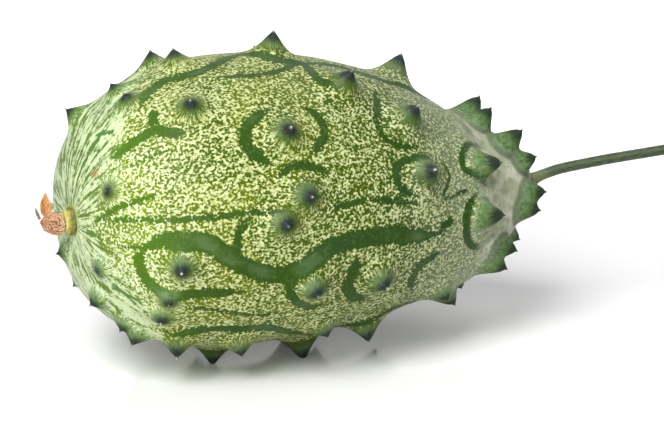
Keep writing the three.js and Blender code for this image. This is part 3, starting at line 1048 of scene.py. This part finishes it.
def tipped(p, skin):
    """Horns darken to their tips, which end in a pale point: partly the spine's own pale colour,
    partly a painted highlight on the blunt tip.
    """
    height = p.plus(p.share, p.times(p.minus(p.ray_grain, 0.5), 0.4))
    height = p.minus(height, p.fade(p.station, *STEM_TIPS, 0.0, 0.03))
    skin = p.mixed(p.fade(height, 0.22, 0.5, 0.0, 0.55), skin, "#3E5628")
    dark = p.mixed(p.tone, "#1A221E", "#2A3230")
    dark = p.mixed(p.fade(p.station, *STEM_TIPS, 0.0, 0.8), dark, "#22301E")
    skin = p.mixed(p.fade(height, 0.46, 0.72), skin, dark)

    worn = p.noise(p.scaled(p.number, (3.7, 0, 0)), 1.0, 0.0)
    # The pale point is partly a painted highlight, standing in for light caught on each blunt tip.
    pale = p.times(
        p.fade(p.apart, 0.2, 0.7, 1.0, 0.0),
        p.fade(p.station, *STEM_TIPS, 0.85, 0.1),
        p.fade(worn, 0.4, 0.6, 0.3),
        p.fade(p.share, 0.8, 0.97),
    )
    return p.mixed(pale, skin, "#C8C4B4")


def stem_material():
    p = Paint(bpy.data.materials.new("ribbed_stalk"))
    fine = p.noise(p.at, 3.0, 3.0)
    streaks = p.noise(p.scaled(p.at, (0.5, 3.0, 3.0)), 1.0, 3.0)
    green = p.mixed(p.fade(streaks, 0.35, 0.65), "#24321C", "#3E4C32")
    # Painted highlight: paler along the crests of the ribs.
    green = p.mixed(p.fade(p.stored("rib"), -0.02, 0.07, 0.0, 0.25), green, "#68724F")
    green = p.mixed(p.fade(p.stored("reach"), 0.5, 7.0, 0.75, 0.0), green, "#7E8757")
    normal = p.bump(p.plus(fine, p.noise(p.at, 9.0)), 0.08, 0.8)
    rough = p.fade(fine, 0.3, 0.7, 0.6, 0.8)
    return p.finish(Base_Color=green, Roughness=rough, Normal=normal)


def flower_ring_material():
    p = Paint(bpy.data.materials.new("yellow_ring"))
    out = p.plus(p.stored("out"), p.times(p.noise(p.at, 0.9, 3.0), 0.8))
    # Painted shade: darker at the ring's foot, where it meets the rind.
    tint = p.mixed(p.fade(out, 0.8, 1.7), "#5A5820", "#9C9438")
    tint = p.mixed(p.fade(out, 1.6, 2.2), tint, "#BCB470")
    tint = p.mixed(p.patches(2.0, 0.45, 0.7, 0.0, 0.7), tint, "#7A7C2E")
    normal = p.bump(p.noise(p.at, 3.5, 3.0), 0.12, 0.7)
    return p.finish(Base_Color=tint, Roughness=0.6, Normal=normal)


def corolla_material():
    p = Paint(bpy.data.materials.new("crumpled_brown"))
    out = p.stored("out")
    veins = p.noise(p.scaled(p.at, (1.0, 1.6, 1.6)), 2.2, 3.0, 0.6, 0.8)
    # Partly painted shade and highlight: darker down in the creases that the fold measure marks, paler
    # on their ridges, over the veins' own tone.
    level = p.plus(p.times(p.stored("fold"), 0.5), veins)
    tint = p.mixed(p.fade(level, 0.5, 0.8), "#5E3C26", "#A87C5C")
    tint = p.mixed(p.fade(level, 0.72, 1.0), tint, "#CCA888")
    tint = p.mixed(p.fade(out, 0.25, 0.9, 0.0, 0.5), tint, "#8A5E42")
    rim = p.fade(p.plus(out, p.times(veins, 0.3)), 0.12, 0.4, 0.85, 0.0)
    tint = p.mixed(rim, tint, "#CDAE92")
    return p.finish(Base_Color=tint, Roughness=0.85, Normal=p.bump(veins, 0.2, 0.8))


def petal_material(name, main, dark, edge):
    p = Paint(bpy.data.materials.new(name))
    veins = p.noise(p.scaled(p.at, (2.6, 2.6, 0.9)), 1.0, 4.0, 0.65)
    tint = p.mixed(p.fade(veins, 0.35, 0.65), dark, main)
    tint = p.mixed(p.patches(0.7, 0.5, 0.7, 0.0, 0.7), tint, dark)
    tint = p.mixed(p.fade(p.stored("side"), 0.45, 0.9, 0.0, 0.8), tint, edge)
    tint = p.mixed(p.fade(p.stored("along"), 0.8, 1.0, 0.0, 0.6), tint, dark)
    return p.finish(Base_Color=tint, Roughness=0.8, Normal=p.bump(veins, 0.15, 0.8))


# ---- the scene ----


def direction(azimuth, elevation):
    """From the fruit towards a place round from its front and above it."""
    a, e = math.radians(azimuth), math.radians(elevation)
    return Vector((math.sin(a) * math.cos(e), -math.cos(a) * math.cos(e), math.sin(e)))


def make_camera():
    """The view in the photo: round to the fruit's left and a little above."""
    azimuth = math.radians(VIEW["azimuth"])
    back = direction(VIEW["azimuth"], VIEW["elevation"])
    right = Vector((math.cos(azimuth), math.sin(azimuth), 0))
    up = back.cross(right)
    widest = Vector((WIDEST_X, 0, AXIS_HEIGHT))
    place = widest + VIEW["distance"] * back
    target = widest + VIEW["right"] * right + VIEW["up"] * up
    data = bpy.data.cameras.new("camera")
    for name, value in LENS.items():
        setattr(data, name, value)
    camera = scene_object("camera", data)
    look = (target - place).to_track_quat("-Z", "Y").to_matrix()
    roll = Matrix.Rotation(math.radians(VIEW["roll"]), 3, "Z")
    camera.matrix_world = (look @ roll).to_4x4()
    camera.location = place * MM
    bpy.context.scene.camera = camera


def make_lamp(name, azimuth, elevation, size, power):
    """A square soft lamp that faces the fruit's middle."""
    back = direction(azimuth, elevation)
    data = bpy.data.lights.new(name, "AREA")
    data.size = size
    data.energy = power
    lamp = scene_object(name, data)
    lamp.location = back * LAMP_DISTANCE + Vector((0, 0, AXIS_HEIGHT * MM))
    lamp.rotation_mode = "QUATERNION"
    lamp.rotation_quaternion = back.to_track_quat("Z", "Y")


def make_world():
    """A white backdrop, and soft light from all round that is weaker than the lamps'.

    Reflections see the backdrop behind the fruit, and a dimmer room on the near side.
    """
    world = bpy.data.worlds.new("studio")
    bpy.context.scene.world = world
    p = Paint(world)
    seen = p.node("ShaderNodeLightPath", {}, "Is Camera Ray")
    glossy = p.node("ShaderNodeLightPath", {}, "Is Glossy Ray")
    way = p.node("ShaderNodeTexCoord", {}, "Generated")
    behind = p.vector("DOT_PRODUCT", way, BACKDROP_WAY, output="Value")
    room = p.fade(behind, -0.3, 0.5, ROOM_LEVEL, 1.0)
    level = p.between(seen, p.between(glossy, WORLD_LEVEL, room), 1.0)
    shine = p.node("ShaderNodeBackground", {"Color": WHITE, "Strength": level})
    p.node("ShaderNodeOutputWorld", {"Surface": shine})


def make_floor():
    """A white, slightly glossy table that reaches far beyond the view."""
    half, low = FLOOR["half"], -FLOOR["drop"]
    points = [(-half, -half, low), (half, -half, low), (half, half, low), (-half, half, low)]
    floor = mesh_object("floor", points, [(0, 1, 2, 3)])
    p = Paint(bpy.data.materials.new("white_table"))
    seen = p.node("ShaderNodeLightPath", {}, "Is Camera Ray")
    far = p.fade(p.length(p.at), *FLOOR_GLOW["span"], 0.0, FLOOR_GLOW["most"])
    white = p.finish(
        Base_Color=FLOOR["colour"],
        Roughness=FLOOR["roughness"],
        Specular_IOR_Level=FLOOR["specular"],
        Emission_Color=WHITE,
        Emission_Strength=p.times(seen, far),
    )
    floor.data.materials.append(white)


def main():
    bpy.context.scene.view_settings.view_transform = "Standard"
    make_camera()
    make_world()
    for name, lamp in LAMPS.items():
        make_lamp(name, *lamp)
    make_floor()
    make_rind()
    make_stem()
    make_flower_ring()
    make_corolla()
    make_petals()


main()
